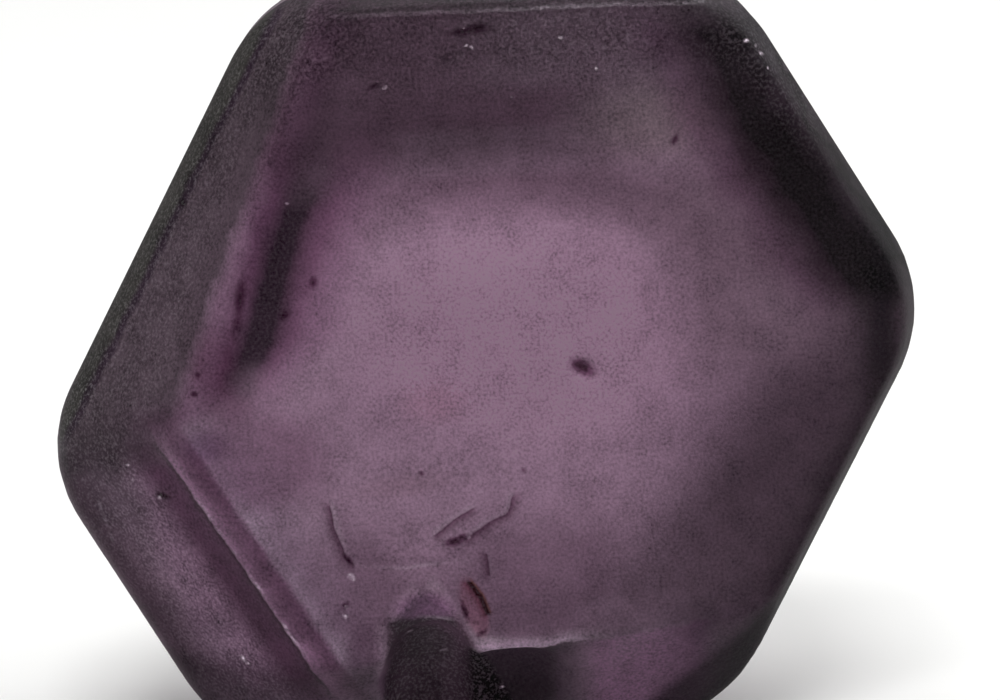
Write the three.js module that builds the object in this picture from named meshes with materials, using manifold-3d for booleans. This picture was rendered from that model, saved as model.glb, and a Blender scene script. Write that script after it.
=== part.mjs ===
// A loose crystal of taaffeite: a waterworn six-sided tablet, standing on its lowest prism face.
// Millimetres, +Z up. The crystal's six-fold axis lies along Y and its broad front face looks
// toward -Y. The origin is the middle of the bottom of its bounding box.
import * as THREE from "three";
import { ConvexGeometry } from "three/addons/geometries/ConvexGeometry.js";
import { mergeVertices } from "three/addons/utils/BufferGeometryUtils.js";
import Module from "manifold-3d";

// ---- Driving dimensions, from the centre of the crystal -------------------------------------

const THICKNESS = 4.9; // between the front face and the rear face
const FRONT = -THICKNESS / 2;
const REAR = THICKNESS / 2;

// The corners between two prism faces are round, and the faces' outlines inside them are less so.
const CORNER_RADIUS = 1.6;
const SHARPEST_CORNER = 0.25;
const CORNER_STEPS = 7; // tangent planes that round each corner between two sides

// One row a side, counter-clockwise from the upper right as the front face is seen. Each outline has
// a line a side, given by its angle in degrees from +X toward +Z and its distance from the axis: the
// prism face stands on "prism", the front face ends at "front" and the rear face at "rear". The two
// bevels lean by their slope from the face's plane.
const SIDES = [
  {
    prism: { angle: 30, distance: 4.585 },
    front: { angle: 30, distance: 4.36, slope: 60 },
    rear: { angle: 31, distance: 3.1, slope: 42 },
  },
  {
    prism: { angle: 90, distance: 4.195 },
    front: { angle: 90, distance: 3.9, slope: 58 },
    rear: { angle: 90, distance: 1.5, slope: 40 },
  },
  {
    prism: { angle: 150.6, distance: 4.02 },
    front: { angle: 157.9, distance: 2.985, slope: 46 },
    rear: { angle: 150.6, distance: 2.6, slope: 43 },
  },
  {
    prism: { angle: 209.5, distance: 5.11 },
    front: { angle: 208.8, distance: 3.4, slope: 42 },
    rear: { angle: 209.5, distance: 3.3, slope: 46 },
  },
  {
    prism: { angle: 270, distance: 4.59 },
    front: { angle: 274.3, distance: 3.24, slope: 36 },
    rear: { angle: 270, distance: 4.1, slope: 50 },
  },
  {
    prism: { angle: 331.2, distance: 4.3 },
    front: { angle: 331.2, distance: 4.08, slope: 60 },
    rear: { angle: 318, distance: 3.15, slope: 45 },
  },
];

// Growth ledges: shallow facets between the front face and a bevel.
const LEDGES = [
  { angle: 208.8, distance: 3.27, slope: 22 },
  { angle: 91.2, distance: 3.3, slope: 7 },
];

// How far wear has taken the sharp edges back, and how many tangent planes round each edge.
const FRONT_EDGE_WEAR = 0.07;
const REAR_EDGE_WEAR = 0.16;
const PRISM_EDGE_WEAR = 0.1;
const REAR_EDGE_STEPS = 3;

// Two vertices of the solid closer than this are one vertex.
const SAME_VERTEX = 0.01;

// Each pit's widest section stands this far off the surface, so that no corner of it lies in the face.
const PIT_LIFT = 0.017;

// A growth groove runs along the foot of the lower left ledge.
const GROOVE = { from: [-3.62, -0.8], to: [-2.13, -3.34], width: 0.16, depth: 0.11 };

// Etch pits in the front half: [x, z] of the middle, length, width, depth, and turn in degrees.
const PITS = [
  { at: [1.08, -0.12], length: 0.27, width: 0.15, depth: 0.12, turn: -30 },
  { at: [2.21, 2.38], length: 0.17, width: 0.1, depth: 0.09, turn: 60 },
  { at: [-0.44, -2.02], length: 0.26, width: 0.12, depth: 0.12, turn: 15 },
  { at: [-1.57, -2.36], length: 0.12, width: 0.1, depth: 0.08, turn: 0 },
  { at: [-3.7, -1.34], length: 0.22, width: 0.12, depth: 0.1, turn: -10 },
  { at: [-3.31, 1.85], length: 0.12, width: 0.09, depth: 0.08, turn: 0 },
  { at: [-0.02, 3.58], length: 0.28, width: 0.1, depth: 0.1, turn: 5 },
  { at: [-1.05, 3.1], length: 0.2, width: 0.07, depth: 0.06, turn: 25 },
];

// Shallow six-sided etch pits in the rear face: [x, z] of the middle, radius and depth.
const REAR_PITS = [
  { at: [0.6, -0.9], radius: 0.5, depth: 0.07 },
  { at: [-0.9, 0.2], radius: 0.32, depth: 0.06 },
  { at: [1.2, 0.5], radius: 0.2, depth: 0.05 },
];

// An etched terrace: the front face drops by "depth" at this wavy line and comes back level at "head".
const TERRACE = {
  line: [
    [-1.84, -1.35],
    [-1.78, -1.72],
    [-1.66, -2.02],
    [-1.52, -2.24],
    [-1.1, -2.22],
    [-0.62, -2.3],
    [-0.36, -2.1],
    [0.0, -1.84],
    [0.28, -1.6],
    [0.42, -1.22],
  ],
  head: -0.8,
  depth: 0.07,
};

// A conchoidal chip at the lower edge: its body, and the hollow beside it under the ridge.
const CHIPS = [
  { middle: [-0.78, FRONT + 0.26, -3.86], radii: [0.6, 0.56, 0.97], lean: 18 },
  { middle: [0.12, FRONT + 0.27, -3.86], radii: [0.76, 0.33, 0.63], lean: 9 },
];
const CHIP_DETAIL = 6;
const CHIP_RIBS = { count: 9, height: 0.02 }; // the faint rings of a shell-like fracture

// Above the chip's body the front face has broken away in flat facets that meet at a point.
const SCAR = { middle: [-0.84, FRONT + 0.03, -3.02], radii: [0.52, 0.2, 0.51] };

// An almond-shaped fracture beside the chip, deep on its right-hand side and level with the face on its left.
const FRACTURE = { at: [-0.2, -2.83], length: 0.66, width: 0.26, depth: 0.09, turn: 112, lean: 35 };

const COLOUR = 0x8c6c83;
const ROUGHNESS = 0.25;

// ---- Geometry -------------------------------------------------------------------------------

const wasm = await Module();
wasm.setup();

const radians = THREE.MathUtils.degToRad;
const lerp = THREE.MathUtils.lerp;

// Where two lines of the plane Y = 0 cross, each given by its normal's angle and its distance.
function crossing(a, b) {
  const turn = Math.sin(radians(b.angle - a.angle));
  return {
    x: (a.distance * Math.sin(radians(b.angle)) - b.distance * Math.sin(radians(a.angle))) / turn,
    z: (b.distance * Math.cos(radians(a.angle)) - a.distance * Math.cos(radians(b.angle))) / turn,
  };
}

// The tangents of a six-sided outline with rounded corners: each side's own line, then the lines that
// turn round the corner to the next side. "slope" goes evenly from one side's value to the next one's,
// and an outline that is inset from the prism has its corners that much sharper.
function tangentLines(sides) {
  return sides.flatMap((side, index) => {
    const next = { ...sides[(index + 1) % sides.length] };
    if (next.angle < side.angle) next.angle += 360;
    const radius = Math.max(SHARPEST_CORNER, CORNER_RADIUS - (side.inset + next.inset) / 2);
    const inner = crossing(
      { angle: side.angle, distance: side.distance - radius },
      { angle: next.angle, distance: next.distance - radius },
    );
    const round = Array.from({ length: CORNER_STEPS }, (_, step) => {
      const share = (step + 1) / (CORNER_STEPS + 1);
      const angle = lerp(side.angle, next.angle, share);
      const reach = inner.x * Math.cos(radians(angle)) + inner.z * Math.sin(radians(angle));
      return { angle, distance: reach + radius, slope: lerp(side.slope, next.slope, share) };
    });
    return [side, ...round];
  });
}

// A plane by its outward normal and its offset from the crystal's centre.
function prismPlane(line) {
  const normal = new THREE.Vector3(Math.cos(radians(line.angle)), 0, Math.sin(radians(line.angle)));
  return { normal, offset: line.distance };
}

// A bevel that starts from a line on the front or rear face and leans back by the line's slope.
function bevelPlane(line, face) {
  const outward = Math.sin(radians(line.slope));
  const along = Math.sign(face) * Math.cos(radians(line.slope));
  const normal = new THREE.Vector3(
    outward * Math.cos(radians(line.angle)),
    along,
    outward * Math.sin(radians(line.angle)),
  );
  return { normal, offset: outward * line.distance + along * face };
}

// A plane that takes the edge between two planes back by "wear", at a share of the turn between them.
function wornEdge(a, b, share, wear) {
  const normal = a.normal.clone().lerp(b.normal, share);
  const length = normal.length();
  return { normal: normal.divideScalar(length), offset: lerp(a.offset, b.offset, share) / length - wear };
}

function crystalPlanes() {
  const outline = (key) =>
    SIDES.map((side) => ({ slope: 0, ...side[key], inset: side.prism.distance - side[key].distance }));
  const prism = tangentLines(outline("prism")).map(prismPlane);
  const front = tangentLines(outline("front")).map((line) => bevelPlane(line, FRONT));
  const rear = tangentLines(outline("rear")).map((line) => bevelPlane(line, REAR));
  const frontFace = { normal: new THREE.Vector3(0, -1, 0), offset: -FRONT };
  const rearFace = { normal: new THREE.Vector3(0, 1, 0), offset: REAR };
  const ledges = LEDGES.map((ledge) => bevelPlane(ledge, FRONT));
  const worn = prism.flatMap((side, index) => {
    const rearEdges = Array.from({ length: REAR_EDGE_STEPS }, (_, step) => {
      const share = (step + 1) / (REAR_EDGE_STEPS + 1);
      const wear = REAR_EDGE_WEAR * Math.sin(Math.PI * share);
      return wornEdge(rear[index], rearFace, share, wear);
    });
    return [
      wornEdge(side, front[index], 0.5, FRONT_EDGE_WEAR),
      wornEdge(side, rear[index], 0.5, PRISM_EDGE_WEAR),
      ...rearEdges,
    ];
  });
  return [...prism, ...front, ...rear, frontFace, rearFace, ...ledges, ...worn];
}

// The solid inside a set of planes, by polar duality: the hull of the points normal / offset has one
// triangle for each corner of the solid, and that corner is the point where its three planes meet.
function solidInside(planes) {
  const poles = planes.map((plane) => plane.normal.clone().divideScalar(plane.offset));
  const hull = new ConvexGeometry(poles).getAttribute("position");
  const corners = [];
  for (let index = 0; index < hull.count; index += 3) {
    const [a, b, c] = [0, 1, 2].map((step) => new THREE.Vector3().fromBufferAttribute(hull, index + step));
    const ab = a.clone().cross(b);
    const corner = ab.clone().add(b.clone().cross(c)).add(c.clone().cross(a)).divideScalar(ab.dot(c));
    if (corners.every((other) => other.distanceTo(corner) > SAME_VERTEX)) corners.push(corner);
  }
  return new ConvexGeometry(corners);
}

// A three.js geometry as a solid that can be joined and cut.
function toSolid(geometry) {
  const bare = geometry.clone();
  bare.deleteAttribute("normal");
  bare.deleteAttribute("uv");
  const merged = mergeVertices(bare, 1e-4);
  return new wasm.Manifold(
    new wasm.Mesh({
      numProp: 3,
      vertProperties: new Float32Array(merged.getAttribute("position").array),
      triVerts: new Uint32Array(merged.index.array),
    }),
  );
}

function toGeometry(solid) {
  const mesh = solid.getMesh();
  const geometry = new THREE.BufferGeometry();
  geometry.setAttribute("position", new THREE.BufferAttribute(mesh.vertProperties, 3));
  geometry.setIndex(new THREE.BufferAttribute(mesh.triVerts, 1));
  return geometry;
}

// How far in Y the front of the uncut crystal lies at x and z, and which way it looks there.
function frontSurface(planes, x, z) {
  let found = { y: -Infinity, normal: null };
  for (const { normal, offset } of planes) {
    if (normal.y >= 0) continue;
    const y = (offset - normal.x * x - normal.z * z) / normal.y;
    if (y > found.y) found = { y, normal };
  }
  return found;
}

// Puts a shape made round the origin, deep along Y, onto the front of the crystal.
function ontoFront(geometry, planes, x, z, turn) {
  const { y, normal } = frontSurface(planes, x, z);
  const tilt = new THREE.Quaternion().setFromUnitVectors(new THREE.Vector3(0, -1, 0), normal);
  geometry.rotateY(-radians(turn));
  geometry.translate(0, -PIT_LIFT, 0);
  geometry.applyQuaternion(tilt);
  return geometry.translate(x, y, z);
}

function pit(planes, { at, length, width, depth, turn }) {
  const bowl = new THREE.IcosahedronGeometry(1, 2).scale(length / 2, depth, width / 2);
  return ontoFront(bowl, planes, at[0], at[1], turn);
}

function rearPit({ at, radius, depth }) {
  return new THREE.CylinderGeometry(radius, radius / 2, 2 * depth, 6).translate(at[0], REAR, at[1]);
}

// A spindle with four sides, whose lower edge cuts a V that runs out at both ends.
function groove(planes, { from, to, width, depth }) {
  const [x, z] = [(from[0] + to[0]) / 2, (from[1] + to[1]) / 2];
  const length = Math.hypot(to[0] - from[0], to[1] - from[1]);
  const turn = THREE.MathUtils.radToDeg(Math.atan2(to[1] - from[1], to[0] - from[0]));
  const spindle = new THREE.OctahedronGeometry(1).scale(length / 2, depth, width / 2);
  return ontoFront(spindle, planes, x, z, turn);
}

// A wedge whose foot is the wavy line, deep in the front face there and level with it at the head.
function terrace({ line, head, depth }) {
  const clearance = 1;
  const outline = new THREE.Shape(line.map(([x, z]) => new THREE.Vector2(x, z)));
  outline.lineTo(line.at(-1)[0], head);
  outline.lineTo(line[0][0], head);
  const slab = new THREE.ExtrudeGeometry(outline, { depth: clearance, bevelEnabled: false });
  slab.rotateX(Math.PI / 2);
  const position = slab.getAttribute("position");
  const foot = Math.min(...line.map(([, z]) => z));
  for (let index = 0; index < position.count; index += 1) {
    const deep = depth * THREE.MathUtils.mapLinear(position.getZ(index), head, foot, 0, 1);
    position.setY(index, position.getY(index) + FRONT + deep);
  }
  return slab;
}

// An ellipsoid ribbed round its top, where the blow that broke the chip off landed.
function chip({ middle, radii, lean }) {
  const ball = new THREE.IcosahedronGeometry(1, CHIP_DETAIL);
  const position = ball.getAttribute("position");
  const point = new THREE.Vector3();
  for (let index = 0; index < position.count; index += 1) {
    point.fromBufferAttribute(position, index);
    const rib = Math.cos(CHIP_RIBS.count * Math.acos(THREE.MathUtils.clamp(point.z, -1, 1)));
    point.multiplyScalar(1 + CHIP_RIBS.height * rib);
    position.setXYZ(index, point.x, point.y, point.z);
  }
  return ball
    .scale(...radii)
    .rotateX(radians(lean))
    .translate(...middle);
}

function scar({ middle, radii }) {
  return new THREE.OctahedronGeometry(1).scale(...radii).translate(...middle);
}

// The lens between two equal arcs, leant over so that it is deep along one arc only.
function fracture(planes, { at, length, width, depth, turn, lean }) {
  const lens = new THREE.Shape();
  lens.moveTo(-length / 2, 0);
  lens.quadraticCurveTo(0, -width, length / 2, 0);
  lens.quadraticCurveTo(0, width, -length / 2, 0);
  const plug = new THREE.ExtrudeGeometry(lens, { depth: width, bevelEnabled: false, curveSegments: 8 });
  plug.rotateX(Math.PI / 2);
  plug.translate(0, depth / 2, 0);
  plug.rotateX(-radians(lean));
  return ontoFront(plug, planes, at[0], at[1], turn);
}

function crystal() {
  const planes = crystalPlanes();
  const cutters = [
    ...PITS.map((row) => pit(planes, row)),
    ...REAR_PITS.map(rearPit),
    ...CHIPS.map(chip),
    scar(SCAR),
    groove(planes, GROOVE),
    terrace(TERRACE),
    fracture(planes, FRACTURE),
  ];
  const uncut = toSolid(solidInside(planes));
  const solid = cutters.map(toSolid).reduce((rest, cutter) => rest.subtract(cutter), uncut);
  const stone = new THREE.MeshStandardMaterial({ color: COLOUR, roughness: ROUGHNESS, metalness: 0 });
  const mesh = new THREE.Mesh(toGeometry(solid), stone);
  mesh.name = "crystal";
  mesh.geometry.computeBoundingBox();
  const box = mesh.geometry.boundingBox;
  const middle = box.getCenter(new THREE.Vector3());
  mesh.position.set(-middle.x, -middle.y, -box.min.z);
  return mesh;
}

const part = new THREE.Group();
part.add(crystal());

export default part;
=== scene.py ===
import math

import bmesh
import bpy
import numpy as np
from mathutils import Matrix, Vector


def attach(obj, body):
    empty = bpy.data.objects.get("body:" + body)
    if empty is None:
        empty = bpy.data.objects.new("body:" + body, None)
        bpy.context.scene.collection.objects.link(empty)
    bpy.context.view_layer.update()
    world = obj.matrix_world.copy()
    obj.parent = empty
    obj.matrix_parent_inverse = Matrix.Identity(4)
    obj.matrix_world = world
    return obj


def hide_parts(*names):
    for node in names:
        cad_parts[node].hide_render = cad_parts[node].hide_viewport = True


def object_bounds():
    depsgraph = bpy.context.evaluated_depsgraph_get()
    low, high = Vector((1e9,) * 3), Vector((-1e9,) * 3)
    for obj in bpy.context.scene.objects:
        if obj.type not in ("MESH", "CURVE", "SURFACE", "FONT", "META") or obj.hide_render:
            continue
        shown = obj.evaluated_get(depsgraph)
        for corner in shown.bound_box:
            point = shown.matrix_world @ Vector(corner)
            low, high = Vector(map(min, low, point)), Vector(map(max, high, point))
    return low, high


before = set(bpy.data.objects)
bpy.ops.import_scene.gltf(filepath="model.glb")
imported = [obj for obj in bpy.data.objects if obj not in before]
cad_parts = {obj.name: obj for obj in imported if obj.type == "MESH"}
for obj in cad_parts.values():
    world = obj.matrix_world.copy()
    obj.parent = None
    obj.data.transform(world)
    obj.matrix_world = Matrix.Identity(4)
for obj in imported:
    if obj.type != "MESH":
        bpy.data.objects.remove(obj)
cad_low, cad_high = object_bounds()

# A waterworn crystal of taaffeite. The CAD solid's surface is cut finer and smoothed, its soft marks
# are stored on the vertices and its sharp ones are drawn by nodes. Then come the glass and the studio.

MM = 0.001

# ---- The crystal's own frame ------------------------------------------------------------------

# Millimetres, as the solid was drawn: how high its six-fold axis lies over the floor, and how far it
# lies to the right of the middle of its box. The front face stands at FRONT.
AXIS_HEIGHT = 4.59
AXIS_SHIFT = 0.0717
THICKNESS = (cad_high.y - cad_low.y) / MM
FRONT = -THICKNESS / 2

# ---- Fine surface -----------------------------------------------------------------------------

VOXEL = 0.078
# The triangles are half as large down to this depth behind the front face.
FINE_DEPTH = 0.95
# Rounds of smoothing: over the whole stone, and over its rear half, where it sets in from the middle
# of the thickness over REAR_BLEND.
EVEN_ROUNDS = 4
REAR_ROUNDS = 20
REAR_BLEND = 0.8
# How far each round moves a vertex, as a share of the way to the mean of its neighbours.
SMOOTHING = 0.5
# Metres, below which two of the solid's vertices are one.
SAME_POINT = 1e-7


def fine_mesh(node):
    """The CAD solid's surface cut into small even triangles, in millimetres, as vertices and corners."""
    solid = bmesh.new()
    solid.from_mesh(node.data)
    bmesh.ops.remove_doubles(solid, verts=solid.verts, dist=SAME_POINT)
    bmesh.ops.scale(solid, vec=(1 / MM,) * 3, verts=solid.verts)
    source = bpy.data.meshes.new("source")
    solid.to_mesh(source)
    solid.free()
    helper = bpy.data.objects.new("source", source)
    bpy.context.scene.collection.objects.link(helper)
    remesh = helper.modifiers.new("Remesh", "REMESH")
    remesh.mode = "VOXEL"
    remesh.voxel_size = VOXEL
    made = bmesh.new()
    made.from_mesh(helper.evaluated_get(bpy.context.evaluated_depsgraph_get()).to_mesh())
    bpy.data.objects.remove(helper)
    bpy.data.meshes.remove(source)
    near = [edge for edge in made.edges if all(end.co.y < FRONT + FINE_DEPTH for end in edge.verts)]
    bmesh.ops.subdivide_edges(made, edges=near, cuts=1, use_grid_fill=True)
    bmesh.ops.triangulate(made, faces=made.faces)
    points = np.array([vertex.co for vertex in made.verts])
    corners = np.array([[vertex.index for vertex in face.verts] for face in made.faces])
    made.free()
    return points, corners


class Surface:
    """A closed triangle mesh that can be smoothed."""

    def __init__(self, points, corners):
        self.points = points
        self.corners = corners
        edges = np.unique(np.sort(np.concatenate([corners[:, [i, (i + 1) % 3]] for i in range(3)])), axis=0)
        self.start, self.end = np.concatenate([edges, edges[:, ::-1]]).T
        self.degree = np.bincount(self.start, minlength=len(points))

    def neighbours_mean(self):
        """The middle of each vertex's neighbours."""
        total = [np.bincount(self.start, self.points[self.end, i], len(self.points)) for i in range(3)]
        return np.stack(total, 1) / self.degree[:, None]

    def smooth(self, rounds, weight=1.0):
        """Laplacian smoothing, with a weight for each vertex."""
        for _ in range(rounds):
            self.points += SMOOTHING * np.reshape(weight, (-1, 1)) * (self.neighbours_mean() - self.points)


surface = Surface(*fine_mesh(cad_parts["crystal"]))
surface.smooth(EVEN_ROUNDS)
surface.smooth(REAR_ROUNDS, np.clip(surface.points[:, 1] / REAR_BLEND, 0, 1))

# ---- Marks on the front -------------------------------------------------------------------------

# The front is drawn in millimetres from the crystal's centre, x to the right and z up.
X = surface.points[:, 0] - AXIS_SHIFT
Y = surface.points[:, 1]
Z = surface.points[:, 2] - AXIS_HEIGHT


def rise(value, low, high):
    """0 below low and 1 above high, with a smooth rise between; low may lie above high."""
    t = np.clip((value - low) / (high - low), 0, 1)
    return t * t * (3 - 2 * t)


def window(value, start, full, last, end):
    """Rises from start to full, stays at 1, and falls from last to end."""
    return rise(value, start, full) * rise(value, end, last)


def reach(angle):
    """How far each vertex lies from the crystal's axis, toward an angle in degrees from +X."""
    return X * math.cos(math.radians(angle)) + Z * math.sin(math.radians(angle))


def spot(x, z, half_x, half_z, lean=0):
    """Distance from a point, in units of an ellipse's half axes; lean turns the ellipse to the left."""
    turn = math.radians(lean)
    across = (X - x) * math.cos(turn) + (Z - z) * math.sin(turn)
    up = (Z - z) * math.cos(turn) - (X - x) * math.sin(turn)
    return np.hypot(across / half_x, up / half_z)


def straight(a, b):
    """Distance from the endless line through two points, negative on its left."""
    length = math.dist(a, b)
    return ((X - a[0]) * (b[1] - a[1]) - (Z - a[1]) * (b[0] - a[0])) / length


# A vertex lies beside a line where the way to its nearest point meets the line at a right angle. These
# sines of that angle count as past the line's end, and as beside it.
PAST_THE_END = 0.5
BESIDE = 0.95
# Two lines count as equally near where their distances differ by less than this, and as apart from here.
EQUALLY_NEAR = 0.02
APART = 0.08
# Keeps a division from meeting zero.
TINY = 1e-9


def course(points):
    """Distance from a line through several points, negative on its left as it is followed, and how
    squarely the line lies beside each vertex: 1 along it, 0 past its ends."""
    nearest = np.full(len(X), np.inf)
    beside = np.zeros(len(X))
    for a, b in zip(points, points[1:]):
        length = math.dist(a, b)
        run = ((X - a[0]) * (b[0] - a[0]) + (Z - a[1]) * (b[1] - a[1])) / length
        side = straight(a, b)
        off = np.hypot(run - np.clip(run, 0, length), side)
        closer = off < np.abs(nearest)
        nearest = np.where(closer, np.copysign(off, side), nearest)
        beside = np.where(closer, rise(np.abs(side) / (off + TINY), PAST_THE_END, BESIDE), beside)
    return nearest, beside


def nearest_course(courses):
    """The course that lies nearest to each vertex, with 0 where two courses lie about as near."""
    drawn = [course(points) for points in courses]
    distances = np.array([distance for distance, _ in drawn])
    chosen = np.abs(distances).argmin(0)
    everywhere = np.arange(len(X))
    nearest = distances[chosen, everywhere]
    beside = np.array([beside for _, beside in drawn])[chosen, everywhere]
    first, second = np.sort(np.abs(distances), axis=0)[:2]
    return nearest, beside * rise(second - first, EQUALLY_NEAR, APART)


def nearest_spot(spots):
    """Distance from the nearest of several spots, in units of that spot's half axes."""
    return np.min([spot(*row) for row in spots], axis=0)


# Seeded, so that each run draws the same numbers.
dice = np.random.default_rng(7)
# The marks end on the stone's sides, a little before the middle of its thickness.
front = rise(Y, -0.6, -1.0)
# For each vertex, the colour that the glass is multiplied by, mostly painted shade and painted light
# with some of the stone's own tints, and how much of its skin is frosted.
tone_and_painted_shade = np.ones((len(X), 3))
frost = np.zeros(len(X))

# The ridge beside the upper left bevel, the foot of the lower left ledge, and the line between them.
upper_left = straight((-1.71, 3.67), (-3.43, -0.56))
lower_left = straight((-3.41, -0.68), (-1.93, -3.15))
left_corner = straight((-3.43, -0.55), (-5.0, -1.0))

# The stone's right edges, its corner between the lower right edge and the foot, and its left corner.
toward_upper_right = reach(31)
toward_lower_right = reach(331)
toward_foot_corner = reach(310)
toward_left_corner = reach(195)

# Painted shade round the bright middle on the right, standing in for the dark that the crystal's
# bevels show through the glass; it leaves out a sandy patch at the upper right.
centre = spot(-0.05, -0.08, 1, 1)
patch = rise(spot(2.05, 2.61, 1.1, 0.7), 0.4, 1.3)
right_painted_shade = rise(centre, 1.5, 2.9) * rise(reach(35), -0.2, 1.8) * rise(Z, 2.9, 2.3) * patch
right_painted_shade *= 1 - 0.5 * rise(spot(0.75, 2.4, 0.75, 0.5), 1.2, 0.4)

# The arch over the bright middle, in units of its half axes.
arch = spot(0.3, 0, 3.2, 1.9)

# The painted shade of the foot and of the top is lighter in places.
foot = window(Z, -3.3, -2.9, -2.2, -1.5) * rise(X, 2.0, 1.0)
foot_light = 0.8 * rise(spot(-0.75, -2.1, 0.6, 0.45), 1.2, 0.4)
foot_light += 0.8 * rise(spot(1.3, -3.0, 0.5, 0.3), 1.2, 0.5)
foot_light += 0.3 * rise(X, -1.5, -2.1)
top_light = rise(Z, 2.9, 3.2) * rise(X, -0.5, 0.8)
top_light += window(Z, 2.0, 2.15, 2.5, 2.7) * window(X, -1.2, -0.5, 1.1, 1.5)

# The chip at the lower edge, whose body gets painted shade.
block_left = straight((-1.26, -3.1), (-1.31, -3.56))
block_right = straight((-0.44, -2.9), (-0.26, -3.27))
block = rise(block_left, 0.04, -0.04) * rise(block_right, -0.05, 0.02) * rise(Z, -2.84, -2.93)

# Broad painted shade, in the order in which it is laid on: darker and lighter zones that stand in for
# the shade and light which the crystal's bevels, edges and chip show through the glass. pink_spot,
# brown_spot, inside_the_fracture and hill_over_the_chip are the stone's own tints, and sandy_patch is
# frosted skin. Each row gives where it lies, the colour that the glass is multiplied by there, and how
# much of its skin is frosted.
PAINTED_SHADE_AND_STAINS = {
    "round_the_bright_middle": (rise(spot(0.5, 0.35, 1.7, 1.1), 0.6, 1.5), (0.62, 0.66, 0.64), 0),
    "painted_shade_upper_right": (right_painted_shade * rise(Z, -0.9, 0.2), (0.34, 0.34, 0.325), 0),
    "lower_right": (
        rise(toward_lower_right, 2.1, 3.3) * window(Z, -3.1, -2.6, -0.5, 0.5),
        (0.47, 0.45, 0.45),
        0,
    ),
    "painted_shade_lower_right": (right_painted_shade * rise(Z, 0.2, -0.9), (0.7, 0.68, 0.7), 0),
    "foot": (foot * (1 - foot_light), (0.42, 0.38, 0.41), 0),
    "right_end_of_the_foot": (rise(spot(2.2, -3.05, 0.4, 0.35), 1.1, 0.4), (0.55, 0.55, 0.55), 0),
    "lower_left_edge": (rise(Z, -3.2, -3.65) * rise(X, -1.0, -1.35), (0.3, 0.25, 0.29), 0),
    "left_of_the_chip": (rise(spot(-1.5, -3.35, 0.33, 0.6), 1.0, 0.4), (0.42, 0.36, 0.4), 0),
    "below_the_streak": (rise(spot(-2.87, -0.35, 0.35, 0.3), 1.1, 0.3), (0.62, 0.52, 0.58), 0),
    "head_of_the_lower_left_ledge": (rise(spot(-3.2, -0.8, 0.35, 0.25), 1.1, 0.3), (0.66, 0.6, 0.7), 0),
    "arch_over_the_middle": (
        window(arch, 0.75, 0.95, 1.03, 1.2) * rise(Z, 0.5, 1.2),
        (0.78, 0.74, 0.76),
        0,
    ),
    "top": (rise(Z, 1.4, 2.5) * patch * (1 - 0.65 * top_light), (0.52, 0.39, 0.47), 0),
    "beside_the_upper_left_ridge": (
        window(upper_left, -0.6, -0.2, 9, 10) * rise(left_corner, -0.1, 0.1),
        (0.6, 0.5, 0.58),
        0,
    ),
    "right_vertex": (
        window(reach(355), 3.9, 4.35, 4.42, 4.7) * rise(Z, -0.9, -0.1),
        (0.1, 0.1, 0.11),
        0,
    ),
    "left_vertex": (rise(toward_left_corner, 3.7, 4.5) * rise(Z, -2.6, -1.2), (0.4, 0.4, 0.4), 0.08),
    "crease_at_the_left_corner": (
        window(left_corner, -0.5, -0.1, 0.1, 0.5) * rise(X, -3.2, -3.6),
        (0.3, 0.22, 0.28),
        0,
    ),
    "foot_of_the_upper_left_ridge": (rise(spot(-3.0, 0.1, 0.5, 0.65), 1.0, 0.3), (0.33, 0.22, 0.29), 0),
    "inside_the_left_corner": (rise(spot(-2.6, -1.0, 1.0, 0.7), 1.1, 0.5), (0.6, 0.5, 0.57), 0),
    "upper_left_ridge": (
        window(upper_left, -0.35, -0.15, 0.05, 0.2) * rise(left_corner, -0.3, 0.3),
        (0.76, 0.66, 0.74),
        0,
    ),
    "chip": (block, (0.1, 0.075, 0.09), 0),
    "foot_of_the_chip": (block * rise(Z, -2.9, -3.3), (0.4, 0.4, 0.4), 0),
    "inside_the_fracture": (rise(spot(-0.26, -2.78, 0.14, 0.36, 15), 1.15, 0.8), (0.95, 0.57, 0.66), 0.1),
    "lower_right_rim": (rise(toward_foot_corner, 4.1, 4.35), (0.1, 0.08, 0.1), 0),
    "lower_right_bevel": (rise(reach(345), 2.5, 3.1) * rise(Z, -2.6, -3.1), (0.5, 0.47, 0.5), 0),
    "right_edge": (rise(toward_lower_right, 3.85, 4.1), (0.35, 0.35, 0.35), 0),
    "sandy_patch": (rise(spot(2.0, 2.6, 1.1, 0.6), 1.2, 0.2), (1.0, 0.93, 0.88), 0.055),
    "pink_spot": (rise(spot(-0.6, -0.42, 0.45, 0.3), 1.2, 0.3), (0.93, 0.83, 0.84), 0),
    "brown_spot": (rise(spot(-1.0, -1.35, 0.6, 0.16, 5), 1.3, 0.3), (0.8, 0.78, 0.76), 0),
    "ends_of_the_lower_left_bevel": (
        rise(lower_left, 0.4, 0.7) * (1 - window(Z, -3.1, -2.5, -2.2, -1.7)),
        (0.6, 0.58, 0.6),
        0,
    ),
    "left_rim": (rise(toward_left_corner, 4.0, 4.4) * rise(Z, -0.4, -1.0), (0.8, 0.85, 0.8), 0),
    "upper_right_corner": (rise(X, 2.1, 3.0) * rise(Z, 3.1, 3.6), (0.5, 0.5, 0.52), 0),
    "hill_over_the_chip": (rise(spot(-0.82, -2.8, 0.42, 0.26), 1.1, 0.5), (1.0, 0.65, 1.0), 0.15),
}
for mask, colour, cover in PAINTED_SHADE_AND_STAINS.values():
    strength = mask * front
    tone_and_painted_shade *= 1 + strength[:, None] * (np.array(colour) - 1)
    frost = frost + strength * cover * (1 - frost)

# CLEAR leaves the glass as it is, WHITE is for the painted highlight lines and the painted glints, and
# LILAC for the bands.
CLEAR = (1, 1, 1)
WHITE = (0.95, 0.93, 0.96)
LILAC = (0.75, 0.55, 0.68)

# The lines that the marks below follow.
ridge_shade_line, _ = course(
    [(-1.78, 2.7), (-1.88, 2.13), (-2.09, 1.68), (-2.3, 1.13), (-2.46, 0.59), (-2.58, 0.26), (-2.75, -0.1)]
)
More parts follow.
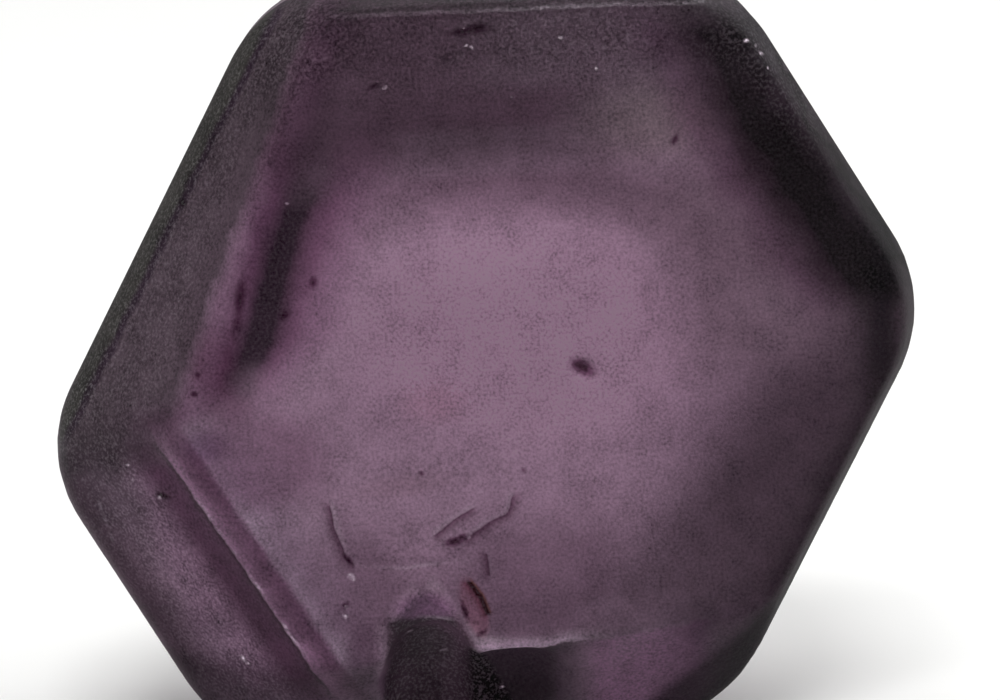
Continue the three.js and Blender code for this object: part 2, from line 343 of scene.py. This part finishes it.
# The painted shade along the ridge is narrower at its foot.
ridge_shade_line = ridge_shade_line * (1 + 0.5 * rise(Z, 0.5, -0.2))
ledge, _ = course([(-0.38, -3.28), (0.46, -3.28), (0.68, -3.23), (1.13, -3.19), (2.27, -3.05)])
steps, steps_beside = nearest_course(
    [
        # the long one, then two over the fracture, and one down to it
        [(-1.82, -1.53), (-1.76, -1.84), (-1.67, -2.15), (-1.57, -2.24)],
        [(-0.32, -2.0), (-0.05, -1.82), (0.17, -1.71), (0.24, -1.52)],
        [(-0.66, -1.94), (-0.43, -1.77), (-0.2, -1.66)],
        [(-0.1, -2.16), (-0.07, -2.28), (-0.06, -2.43)],
    ]
)
cracks, cracks_beside = course([(-0.31, -2.47), (-0.18, -2.65), (-0.1, -2.86)])
painted_highlight_lines, highlight_beside = nearest_course(
    [
        # along the top edge, and a short one under it
        [(-1.51, 3.91), (1.66, 3.89), (2.6, 3.88)],
        [(-0.56, 3.33), (-0.34, 3.34), (-0.06, 3.43)],
        # over the chip, and along its head
        [(-1.57, -2.24), (-0.98, -2.29), (-0.5, -2.23), (-0.32, -2.25)],
        [(-0.91, -2.87), (-0.51, -2.91)],
        # on the lower left rim, and along the lower left ledge
        [(-4.5, -1.6), (-4.42, -1.9), (-4.38, -2.1)],
        [(-3.6, -0.92), (-2.9, -2.08), (-2.17, -3.29)],
    ]
)
# The painted highlight lines are broken into flecks, by a random strength for each step of height.
FLECKS = 140
HALF_HEIGHT = 4
heights = np.linspace(-HALF_HEIGHT, HALF_HEIGHT, FLECKS)
flecks = np.interp(Z, heights, dice.uniform(-0.4, 1.0, FLECKS)).clip(0.1, 1)
pale_bands, bands_beside = nearest_course(
    [
        # between the chip and the fracture, then down the chip's left side and over its head
        [(-0.74, -2.48), (-0.53, -2.71), (-0.38, -2.97), (-0.28, -3.15), (0.01, -3.2)],
        [(-1.29, -2.95), (-1.34, -3.56)],
        [(-1.21, -2.85), (-0.9, -2.53)],
    ]
)

# Marks drawn as profiles across a line: each stop has its distance from the line, the colour that
# the glass is multiplied by there, and how much of its skin is frosted. "extent" fades a mark out
# along its line, and "stray" is how far its edges wander. A mark with a "skin" has a colour that takes
# the glass's place, and frosts that share of it. The soft ones are drawn on the vertices.
SOFT_MARKS = {
    "upper_left_bevel": {
        "distance": upper_left,
        "extent": rise(left_corner, -0.35, 0.45),
        "stray": 0.06,
        "skin": 0.5,
        "stops": [
            (-0.3, (0.3, 0.2, 0.27), 0.0),
            (-0.1, (0.2, 0.13, 0.18), 0.25),
            (0.04, (0.16, 0.11, 0.14), 0.45),
            (0.18, (0.066, 0.056, 0.061), 0.95),
            (0.5, (0.066, 0.056, 0.061), 0.95),
        ],
    },
    # Painted shade: a dark band just inside the upper left ridge.
    "ridge_painted_shade": {
        "distance": ridge_shade_line,
        "extent": window(Z, -0.75, 0.2, 1.75, 3.0),
        "stray": 0.045,
        "stops": [
            (-1.0, CLEAR, 0.0),
            (-0.6, (0.75, 0.58, 0.72), 0.0),
            (-0.4, (0.38, 0.22, 0.34), 0.0),
            (-0.28, (0.16, 0.09, 0.14), 0.0),
            (-0.16, (0.012, 0.009, 0.012), 0.0),
            (0.08, (0.012, 0.009, 0.012), 0.0),
            (0.17, (0.13, 0.08, 0.12), 0.0),
            (0.28, (0.46, 0.3, 0.42), 0.0),
            (0.45, CLEAR, 0.0),
        ],
    },
    # Painted shade: the dark crescent along the upper right edges, with a pale painted rim highlight at its
    # outer edge.
    "crescent": {
        "distance": toward_upper_right - 0.15 * rise(Z, 2.5, 3.4),
        "extent": window(Z, 0.0, 0.7, 3.5, 4.1),
        "stray": 0.08,
        "stops": [
            (3.05, CLEAR, 0.0),
            (3.4, (0.62, 0.48, 0.6), 0.0),
            (3.68, (0.16, 0.12, 0.15), 0.0),
            (3.85, (0.018, 0.018, 0.018), 0.0),
            (4.18, (0.018, 0.018, 0.018), 0.0),
            (4.34, (0.13, 0.13, 0.14), 0.1),
            (4.43, (0.13, 0.13, 0.14), 0.1),
            (4.47, (0.03, 0.03, 0.03), 0.0),
            (4.5, (0.03, 0.03, 0.03), 0.0),
            (4.53, (0.2, 0.2, 0.21), 0.15),
        ],
    },
    "foot": {
        "distance": ledge,
        "extent": window(X, 0.7, 1.2, 2.2, 2.6),
        "stray": 0.05,
        "stops": [
            (-0.02, CLEAR, 0.0),
            (0.05, (0.8, 0.5, 0.74), 0.1),
            (0.9, (0.8, 0.5, 0.74), 0.1),
        ],
    },
}

# The soft marks' edges wander by a sum of waves, each shorter and weaker than the one before.
SWAY_WAVES = 9
LONGEST_WAVE = 0.8
NEXT_LENGTH = 0.8
FIRST_STRENGTH = 0.25
NEXT_STRENGTH = 0.85
sway = np.zeros(len(X))
for wave in range(SWAY_WAVES):
    bearing, start = dice.uniform(0, 2 * math.pi, 2)
    across = X * math.cos(bearing) + Z * math.sin(bearing)
    turns = across * 2 * math.pi / (LONGEST_WAVE * NEXT_LENGTH**wave)
    sway += np.sin(turns + start) * FIRST_STRENGTH * NEXT_STRENGTH**wave
for mark in SOFT_MARKS.values():
    places, stop_colours, stop_covers = zip(*mark["stops"])
    where = mark["distance"] + sway * mark["stray"]
    colours = np.column_stack([np.interp(where, places, channel) for channel in zip(*stop_colours)])
    extent = mark["extent"] * front
    covered = extent * np.interp(where, places, stop_covers)
    if "skin" in mark:
        tone_and_painted_shade += covered[:, None] * (colours - tone_and_painted_shade)
    else:
        tone_and_painted_shade *= 1 + extent[:, None] * (colours - 1)
    frost = 1 - (1 - frost) * (1 - mark.get("skin", 1) * covered)

# The sharp ones are drawn by the material's nodes, in this order.
MARKS = {
    "upper_left_rim": {
        "distance": reach(150.6),
        "extent": rise(left_corner, -0.3, 0.2),
        "stray": 0.03,
        "skin": 0.7,
        "stops": [
            (3.73, (0.02, 0.01, 0.02), 0.0),
            (3.78, (0.02, 0.01, 0.02), 0.9),
            (3.81, (0.02, 0.01, 0.02), 0.9),
            (3.86, (0.034, 0.037, 0.03), 0.95),
            (4.1, (0.034, 0.037, 0.03), 0.95),
        ],
    },
    # Painted highlights along the crease and the ridges of the lower left ledge, painted shade in the dark
    # band between them, and the frost of the bevel beyond.
    "lower_left_steps": {
        "distance": lower_left,
        "extent": rise(left_corner, 0.3, -0.5) * rise(Z, -4.1, -3.5),
        "stray": 0.03,
        "stops": [
            (-0.8, CLEAR, 0.0),
            (-0.3, (1.0, 0.85, 1.0), 0.1),
            (-0.06, (1.0, 0.85, 1.0), 0.2),
            (0.02, (0.6, 0.36, 0.54), 0.02),
            (0.15, (0.7, 0.42, 0.62), 0.05),
            (0.24, (1.0, 0.65, 0.92), 0.1),
            (0.29, (1.0, 0.65, 0.92), 0.1),
            (0.31, (0.03, 0.01, 0.02), 0.0),
            (0.36, (0.17, 0.06, 0.14), 0.0),
            (0.58, (0.34, 0.15, 0.28), 0.03),
            (0.82, (0.8, 0.53, 0.73), 0.34),
            (1.2, (0.8, 0.55, 0.74), 0.36),
            (1.6, (0.35, 0.2, 0.3), 0.12),
        ],
    },
    # A painted highlight along the ledge, and painted shade in the hollow below it.
    "ledge": {
        "distance": ledge,
        "extent": rise(X, -0.45, -0.3) * rise(X, 1.3, 0.5),
        "stray": 0.03,
        "stops": [
            (-0.14, CLEAR, 0.0),
            (-0.05, (1.0, 0.8, 0.97), 0.22),
            (-0.02, (1.0, 0.8, 0.97), 0.34),
            (0.0, (1.0, 0.8, 0.97), 0.3),
            (0.03, (0.03, 0.02, 0.03), 0.0),
            (0.6, (0.02, 0.02, 0.02), 0.0),
        ],
    },
    # Each step's edge: a thin dark line of painted shade, with a painted highlight along one side.
    "steps": {
        "distance": steps,
        "extent": steps_beside,
        "stray": 0.02,
        "stops": [
            (-0.08, CLEAR, 0.0),
            (-0.02, CLEAR, 0.08),
            (0.0, (0.12, 0.06, 0.1), 0.0),
            (0.02, (0.3, 0.2, 0.26), 0.0),
            (0.12, CLEAR, 0.0),
        ],
    },
    "cracks": {
        "distance": cracks,
        "extent": cracks_beside,
        "stray": 0.01,
        "stops": [
            (-0.06, CLEAR, 0.0),
            (-0.03, (0.5, 0.25, 0.12), 0.08),
            (-0.015, (0.03, 0.01, 0.01), 0.0),
            (0.02, (0.03, 0.01, 0.01), 0.0),
            (0.05, (0.5, 0.25, 0.3), 0.0),
            (0.12, CLEAR, 0.0),
        ],
    },
    # Dark spots of painted shade in small pits and scratches.
    "pits": {
        "distance": nearest_spot(
            [
                # right of the middle, and in the sandy patch
                (1.08, -0.12, 0.12, 0.06, -35),
                (1.02, -0.08, 0.06, 0.05, 0),
                (2.21, 2.38, 0.06, 0.03, 60),
                # at the steps over the fracture, on the lower left bevel and on the upper left rim
                (-0.44, -2.02, 0.09, 0.035, 10),
                (-0.36, -1.98, 0.06, 0.03, 25),
                (-3.7, -1.42, 0.07, 0.025, -10),
                (-3.31, 1.85, 0.035, 0.03, 0),
                # at the foot of the long step, and under it
                (-1.64, -2.16, 0.08, 0.025, -55),
                (-1.7, -2.68, 0.05, 0.03, 40),
                # beside the streak and below it
                (-1.86, 0.99, 0.04, 0.06, -15),
                (-2.2, 0.63, 0.06, 0.04, 30),
                (-2.68, 0.82, 0.05, 0.24, -10),
                (-3.2, 0.0, 0.025, 0.035, 0),
                (-3.25, -0.2, 0.03, 0.025, 0),
                # along the top
                (-0.05, 3.68, 0.24, 0.04, 3),
                (0.1, 3.71, 0.1, 0.04, 0),
                (-1.1, 3.12, 0.08, 0.02, 20),
                # below the middle, and in the fracture
                (-0.77, -1.22, 0.025, 0.02, 0),
                (0.37, -1.24, 0.025, 0.03, 0),
                (-0.37, -2.8, 0.02, 0.1, 15),
                (-0.2, -3.08, 0.06, 0.02, 30),
            ]
        ),
        "extent": np.ones(len(X)),
        "stray": 0.5,
        "stops": [(0.3, (0.03, 0.01, 0.02), 0.0), (0.9, (0.2, 0.1, 0.17), 0.0), (1.8, CLEAR, 0.0)],
    },
    # Painted highlights along the edges and ridges that these lines follow.
    "painted_highlight_lines": {
        "distance": painted_highlight_lines,
        "extent": highlight_beside * flecks * np.where(X < -1.8, rise(Z, -1.0, -1.9), 0.6),
        "stray": 0.015,
        "skin": 1.0,
        "stops": [(-0.03, WHITE, 0.0), (-0.01, WHITE, 0.45), (0.01, WHITE, 0.45), (0.03, WHITE, 0.0)],
    },
    "pale_bands": {
        "distance": pale_bands,
        "extent": bands_beside,
        "stray": 0.05,
        "skin": 1.0,
        "stops": [(-0.11, LILAC, 0.0), (-0.03, LILAC, 0.13), (0.03, LILAC, 0.13), (0.11, LILAC, 0.0)],
    },
    # Painted glints of frosted grains.
    "painted_glints": {
        "distance": nearest_spot(
            [
                # at the foot of the long step and below it, and over the fracture
                (-1.63, -2.34, 0.06, 0.03, 20),
                (-1.6, -2.38, 0.03, 0.04, 0),
                (-1.69, -2.7, 0.025, 0.03, 0),
                (-1.71, -2.81, 0.035, 0.022, 0),
                (-0.28, -1.98, 0.02, 0.02, 0),
                # along the top
                (-0.06, 3.72, 0.02, 0.02, 0),
                (-0.04, 3.53, 0.03, 0.02, 30),
                (0.02, 3.5, 0.02, 0.03, 0),
                (1.0, 3.56, 0.025, 0.02, 0),
                (1.29, 3.48, 0.02, 0.02, 0),
                (1.38, 3.21, 0.022, 0.022, 0),
                (0.43, 2.94, 0.02, 0.015, 0),
                (-0.95, 3.11, 0.05, 0.02, 15),
                # at the head of the streak, and below its foot
                (-1.66, 2.26, 0.025, 0.02, 0),
                (-1.6, 2.21, 0.02, 0.015, 30),
                (-1.57, 2.27, 0.012, 0.02, 0),
                (-2.1, 1.88, 0.035, 0.02, 10),
                (-2.54, -0.53, 0.015, 0.035, 20),
                # on the lower left bevel
                (-2.93, -3.4, 0.03, 0.04, 40),
                (-2.88, -3.46, 0.03, 0.02, 0),
                (-4.05, -1.26, 0.015, 0.035, 0),
                (-4.1, -1.08, 0.03, 0.015, 0),
                (-3.75, -1.45, 0.02, 0.02, 0),
                (-4.36, -1.95, 0.012, 0.06, 20),
                # on the upper right rim
                (3.04, 3.43, 0.035, 0.024, 0),
                (3.15, 3.37, 0.02, 0.02, 0),
                (3.2, 3.28, 0.04, 0.02, -40),
                (3.27, 3.12, 0.02, 0.024, 0),
                # on the chip, and in the hollow beside it
                (-1.0, -3.09, 0.04, 0.012, 10),
                (-0.64, -3.39, 0.05, 0.012, 15),
                (-0.17, -3.75, 0.04, 0.015, 20),
                (0.0, -3.85, 0.04, 0.015, 10),
            ]
        ),
        "extent": np.ones(len(X)),
        "stray": 0.5,
        "skin": 1.0,
        "stops": [(0.3, WHITE, 0.7), (0.7, WHITE, 0.3), (1.3, WHITE, 0.0)],
    },
}

# Where the skin is dusty with pale specks: the upper right rim, the top, the lower left bevel, the chip
# and the upper left bevel, and a little of it everywhere.
dust = np.maximum.reduce(
    [
        0.8 * rise(reach(32), 4.1, 4.3) * rise(Z, 1.7, 3.1),
        0.35 * rise(Z, 2.8, 3.4),
        0.6 * window(lower_left, 0.5, 0.8, 1.4, 1.8),
        0.6 * block,
        0.4 * rise(upper_left, 0.2, 0.5),
        np.full(len(X), 0.05),
    ]
)

# Where the skin is worn rough: the rounded edges, the bevels that run into them, and the chip's hollow.
worn = np.maximum.reduce(
    [
        rise(toward_lower_right, 3.5, 4.0),
        rise(toward_upper_right, 4.1, 4.4),
        rise(toward_foot_corner, 3.3, 3.9),
        rise(reach(0), 4.0, 4.5),
        rise(Z, 3.9, 4.2),
        rise(ledge, 0.0, 0.1) * window(X, -0.6, -0.35, 1.0, 1.5),
        rise(lower_left, 0.2, 0.5) * rise(left_corner, 0.3, -0.3),
        rise(upper_left, -0.1, 0.3) * rise(left_corner, -0.3, 0.3),
    ]
)


def store(name, values):
    """Keeps a number, or a colour, for each vertex of the stone."""
    kind = "FLOAT" if values.ndim == 1 else "FLOAT_COLOR"
    layer = stone.data.attributes.new(name, kind, "POINT")
    if kind == "FLOAT":
        layer.data.foreach_set("value", values.astype(np.float32))
    else:
        layer.data.foreach_set("color", np.column_stack([values, np.ones(len(values))]).ravel())


mesh = bpy.data.meshes.new("taaffeite_crystal")
mesh.from_pydata((surface.points * MM).tolist(), [], surface.corners.tolist())
mesh.polygons.foreach_set("use_smooth", [True] * len(mesh.polygons))
mesh.update()
stone = bpy.data.objects.new("taaffeite_crystal", mesh)
bpy.context.scene.collection.objects.link(stone)
store("tone_and_painted_shade", tone_and_painted_shade)
store("frost", frost)
store("dust", dust * front)
store("worn", worn)
for name, mark in MARKS.items():
    store(name, mark["distance"])
    store(name + "_extent", mark["extent"] * front)
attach(stone, "root")
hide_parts("crystal")

# ---- Material ---------------------------------------------------------------------------------

# Taaffeite's refractive index, and the colour that it lets through at its density per metre.
REFRACTIVE_INDEX = 1.72
ABSORPTION_COLOUR = (0.39, 0.17, 0.335, 1)
ABSORPTION_DENSITY = 395
# The frosted skin shines little, and tints what passes through it.
SPECULAR_TINT = (0.06, 0.06, 0.06, 1)
CLEAR_COLOUR = (0.98, 0.86, 0.96, 1)

material = bpy.data.materials.new("taaffeite")
material.use_nodes = True
tree = material.node_tree
glass = tree.nodes["Principled BSDF"]
output = tree.nodes["Material Output"]
coordinates = tree.nodes.new("ShaderNodeTexCoord")


def plug(value, socket):
    """Links a socket to another, or sets its value."""
    if isinstance(value, bpy.types.NodeSocket):
        tree.links.new(value, socket)
    else:
        socket.default_value = value


def calculate(operation, *values):
    """The result of one step of arithmetic."""
    node = tree.nodes.new("ShaderNodeMath")
    node.operation = operation
    for value, socket in zip(values, node.inputs):
        plug(value, socket)
    return node.outputs["Value"]


def attribute(name, output="Fac"):
    """What store() kept under a name: its number, or its colour."""
    node = tree.nodes.new("ShaderNodeAttribute")
    node.attribute_name = name
    return node.outputs[output]


def noise(scale, detail, roughness):
    """Fractal noise around 0.5, with its scale in features per millimetre."""
    node = tree.nodes.new("ShaderNodeTexNoise")
    node.inputs["Scale"].default_value = scale / MM
    node.inputs["Detail"].default_value = detail
    node.inputs["Roughness"].default_value = roughness
    tree.links.new(coordinates.outputs["Object"], node.inputs["Vector"])
    return node.outputs["Fac"]


def between(value, low, high, most=1.0):
    """0 below low and the most above high, with a straight rise between."""
    node = tree.nodes.new("ShaderNodeMapRange")
    plug(value, node.inputs["Value"])
    node.inputs["From Min"].default_value = low
    node.inputs["From Max"].default_value = high
    node.inputs["To Max"].default_value = most
    return node.outputs["Result"]


def blend(kind, colour, factor, other):
    """The colour, multiplied by another one or mixed with it, as far as the factor says."""
    node = tree.nodes.new("ShaderNodeMix")
    node.data_type = "RGBA"
    node.blend_type = kind
    plug(factor, node.inputs["Factor"])
    plug(colour, node.inputs["A"])
    plug(other, node.inputs["B"])
    return node.outputs["Result"]


NOISE_MIDDLE = 0.5
grain = noise(scale=29, detail=2, roughness=0.6)
mottle = noise(scale=3, detail=3, roughness=0.65)
wander = calculate("SUBTRACT", mottle, NOISE_MIDDLE)
# The mottle seldom lies more than a quarter from its middle, and this brings that quarter to 1.
FULL_STRAY = 4


def profile(mark, name):
    """The colour and the frost across a mark's line."""
    stops = mark["stops"]
    low, high = stops[0][0], stops[-1][0]
    distance = calculate("MULTIPLY_ADD", wander, mark["stray"] * FULL_STRAY, attribute(name))
    ramp = tree.nodes.new("ShaderNodeValToRGB")
    elements = ramp.color_ramp.elements
    while len(elements) < len(stops):
        elements.new(0.5)
    for element, (at, shade_colour, cover) in zip(elements, stops):
        element.position = (at - low) / (high - low)
        element.color = (*shade_colour, cover)
    plug(between(distance, low, high), ramp.inputs["Fac"])
    return ramp.outputs["Color"], ramp.outputs["Alpha"]


colour = attribute("tone_and_painted_shade", "Color")
clear = calculate("SUBTRACT", 1, attribute("frost"))
for name, mark in MARKS.items():
    extent = attribute(name + "_extent")
    mark_colour, cover = profile(mark, name)
    covered = calculate("MULTIPLY", cover, extent)
    skin = mark.get("skin", 1)
    if "skin" in mark:
        colour = blend("MIX", colour, covered, mark_colour)
    else:
        colour = blend("MULTIPLY", colour, extent, mark_colour)
    clear = calculate("MULTIPLY", clear, calculate("MULTIPLY_ADD", covered, -skin, 1))

# The grain and the mottle lighten and darken the colour. The grain's high places, from DUST_LOW to
# DUST_HIGH, are pale specks where the skin is dusty, and GRAIN_LIFT lights the grain in the dark.
GRAIN_CONTRAST = 2.6
MOTTLE_CONTRAST = 1.6
GRAIN_LIFT = 0.008
DUST_LOW = 0.5
DUST_HIGH = 0.75
DUST_COVER = 0.2
speck = calculate("SUBTRACT", grain, NOISE_MIDDLE)
speckle = calculate("MULTIPLY_ADD", speck, GRAIN_CONTRAST, 1)
speckle = calculate("MULTIPLY_ADD", wander, MOTTLE_CONTRAST, speckle)
pale_speck = calculate("MULTIPLY", between(grain, DUST_LOW, DUST_HIGH, DUST_COVER), attribute("dust"))
clear = calculate("MULTIPLY", clear, calculate("SUBTRACT", 1, pale_speck))
speckled = tree.nodes.new("ShaderNodeVectorMath")
speckled.operation = "MULTIPLY_ADD"
plug(blend("MULTIPLY", colour, 1, CLEAR_COLOUR), speckled.inputs[0])
plug(speckle, speckled.inputs[1])
plug(calculate("MULTIPLY_ADD", speck, GRAIN_LIFT, pale_speck), speckled.inputs[2])

BUMP_HEIGHT = 0.02
BUMP_STRENGTH = 0.3
bump = tree.nodes.new("ShaderNodeBump")
bump.inputs["Distance"].default_value = BUMP_HEIGHT * MM
bump.inputs["Strength"].default_value = BUMP_STRENGTH
plug(grain, bump.inputs["Height"])

# The skin's roughness goes from the flat faces' to the worn edges', and the grain varies it.
ROUGHNESS = 0.4
WORN_ROUGHNESS = 0.75
ROUGHNESS_GRAIN = 0.3

glass.inputs["IOR"].default_value = REFRACTIVE_INDEX
glass.inputs["Specular Tint"].default_value = SPECULAR_TINT
rough = calculate("MULTIPLY_ADD", attribute("worn"), WORN_ROUGHNESS - ROUGHNESS, ROUGHNESS)
plug(calculate("MULTIPLY_ADD", speck, ROUGHNESS_GRAIN, rough), glass.inputs["Roughness"])
plug(clear, glass.inputs["Transmission Weight"])
plug(speckled.outputs["Vector"], glass.inputs["Base Color"])
plug(bump.outputs["Normal"], glass.inputs["Normal"])

absorption = tree.nodes.new("ShaderNodeVolumeAbsorption")
absorption.inputs["Color"].default_value = ABSORPTION_COLOUR
absorption.inputs["Density"].default_value = ABSORPTION_DENSITY
plug(absorption.outputs["Volume"], output.inputs["Volume"])
mesh.materials.append(material)

# ---- Floor, lights and camera -----------------------------------------------------------------

# Metres, from the middle of the floor to each side.
FLOOR_HALF = 1.5
FLOOR_COLOUR = (0.85, 0.85, 0.84, 1)
FLOOR_ROUGHNESS = 0.9
floor_corners = [(x * FLOOR_HALF, y * FLOOR_HALF, 0) for x, y in ((-1, -1), (1, -1), (1, 1), (-1, 1))]
floor_mesh = bpy.data.meshes.new("floor")
floor_mesh.from_pydata(floor_corners, [], [(0, 1, 2, 3)])
floor = bpy.data.objects.new("floor", floor_mesh)
bpy.context.scene.collection.objects.link(floor)
paper = bpy.data.materials.new("pale_floor")
paper.use_nodes = True
paper.node_tree.nodes["Principled BSDF"].inputs["Base Color"].default_value = FLOOR_COLOUR
paper.node_tree.nodes["Principled BSDF"].inputs["Roughness"].default_value = FLOOR_ROUGHNESS
floor_mesh.materials.append(paper)

SKY_COLOUR = (1, 1, 1, 1)
SKY_STRENGTH = 0.15
world = bpy.data.worlds.new("studio")
bpy.context.scene.world = world
world.use_nodes = True
world.node_tree.nodes["Background"].inputs["Color"].default_value = SKY_COLOUR
world.node_tree.nodes["Background"].inputs["Strength"].default_value = SKY_STRENGTH

# Metres from the origin to each light.
LIGHT_DISTANCE = 0.7


def area_light(name, power, size, azimuth, elevation):
    """A square soft light that looks at the origin from a bearing: azimuth 0 is in front, 180 behind."""
    data = bpy.data.lights.new(name, "AREA")
    data.shape = "SQUARE"
    data.size = size
    data.energy = power
    light = bpy.data.objects.new(name, data)
    bpy.context.scene.collection.objects.link(light)
    turn, tilt = math.radians(azimuth), math.radians(elevation)
    out = Vector((math.sin(turn) * math.cos(tilt), -math.cos(turn) * math.cos(tilt), math.sin(tilt)))
    light.location = out * LIGHT_DISTANCE
    light.rotation_euler = out.to_track_quat("Z", "Y").to_euler()


# The two keys give the shadow its sides, and the soft light fills it from the right.
area_light("left_key_light", power=1.12, size=0.13, azimuth=-12, elevation=51)
area_light("right_key_light", power=1.15, size=0.13, azimuth=6, elevation=51)
area_light("soft_light", power=12.1, size=1.6, azimuth=100, elevation=60)

# The photo's width and its scale at the front face, in pixels, and the lens and sensor in millimetres.
PHOTO_WIDTH = 1000
PIXELS_PER_MM = 90
LENS = 150
SENSOR = 36
ELEVATION = math.radians(9)
ROLL = math.radians(-2.8)
# The camera looks at this point of the front face, right of the axis and above it.
AIM = Vector((0.17 + AXIS_SHIFT, FRONT, 0.13 + AXIS_HEIGHT)) * MM
# Metres from the camera between which things are drawn.
NEAREST = 0.001
FARTHEST = 20

camera_data = bpy.data.cameras.new("camera")
camera_data.lens = LENS
camera_data.sensor_width = SENSOR
camera_data.clip_start = NEAREST
camera_data.clip_end = FARTHEST
camera = bpy.data.objects.new("camera", camera_data)
bpy.context.scene.collection.objects.link(camera)
bpy.context.scene.camera = camera
back = Vector((0, -math.cos(ELEVATION), math.sin(ELEVATION)))
camera_distance = PHOTO_WIDTH / PIXELS_PER_MM / SENSOR * LENS * MM
camera.location = AIM + back * camera_distance
level = back.to_track_quat("Z", "Y").to_matrix().to_4x4()
camera.rotation_euler = (level @ Matrix.Rotation(ROLL, 4, "Z")).to_euler()

bpy.context.scene.view_settings.view_transform = "Standard"
